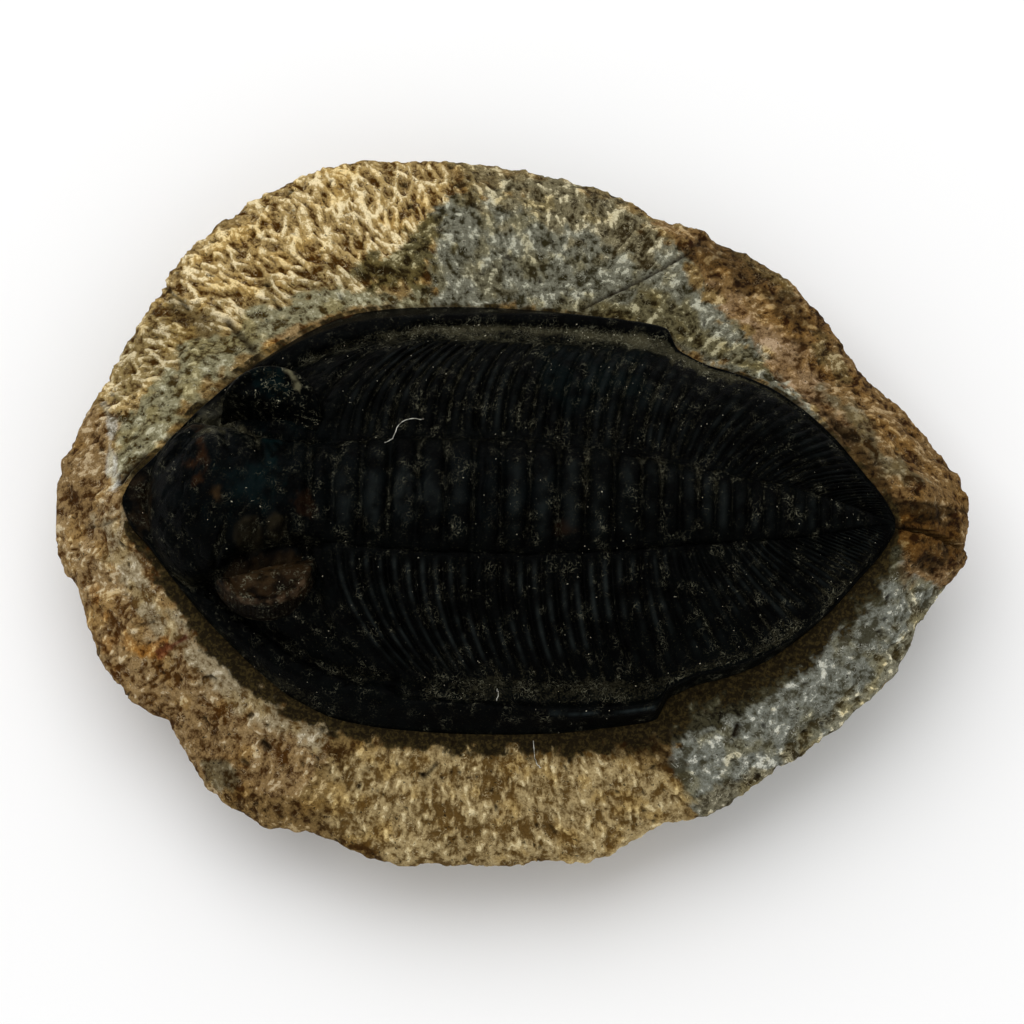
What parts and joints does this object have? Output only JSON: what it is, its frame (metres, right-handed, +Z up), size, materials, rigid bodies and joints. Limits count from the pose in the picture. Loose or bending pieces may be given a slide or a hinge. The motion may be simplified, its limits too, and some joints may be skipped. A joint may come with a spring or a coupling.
{
  "type": "trilobite fossil",
  "caption": "Black spiny-cheeked trilobite fossil, prepared free in relief on its own hand-chiselled limestone block, which rests on a flat sawn base.",
  "frame": {"origin": "middle of the block's footprint box, on the plane of its sawn base", "axes": "+X along the fossil from its head towards its tail, +Y across it to its left side, +Z up out of the block"},
  "size_m": [0.1052, 0.0846, 0.0334],
  "materials": {
    "limestone": "rough hand-chiselled limestone, cream and yellow-brown with blue-grey and reddish-brown zones, matt",
    "calcite_shell": "near-black fossil shell with a teal tint, satin on the ridges, with beige dust in the furrows"
  },
  "bodies": {
    "root": {"matrix": "limestone", "trilobite": "calcite_shell"}
  },
  "joints": []
}
